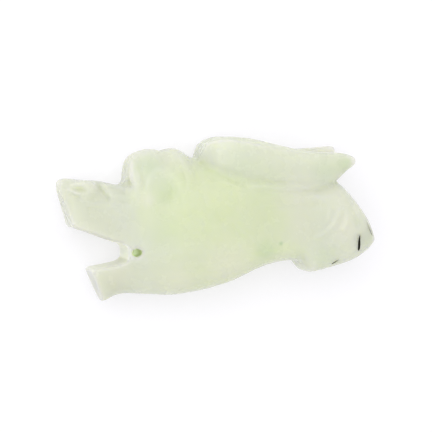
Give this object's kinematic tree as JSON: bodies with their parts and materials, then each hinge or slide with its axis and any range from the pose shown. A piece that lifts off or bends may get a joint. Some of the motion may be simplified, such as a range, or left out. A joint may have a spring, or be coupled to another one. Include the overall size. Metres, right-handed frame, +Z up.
{
  "type": "stone dragon head carving",
  "caption": "Polished pale green stone carving of a dragon's head in profile, with an open mouth, swept-back horns and a small cord hole, lying on its side.",
  "frame": {"origin": "centre of the bounding box, on the surface the head lies on", "axes": "+X from the snout to the neck, +Y from the chin to the horns, +Z up, out of the head's left side"},
  "size_m": [0.0756, 0.039, 0.0203],
  "materials": {
    "pale_green_stone": "polished, slightly translucent"
  },
  "bodies": {
    "root": {"dragon_head_carving": "pale_green_stone"}
  },
  "joints": []
}
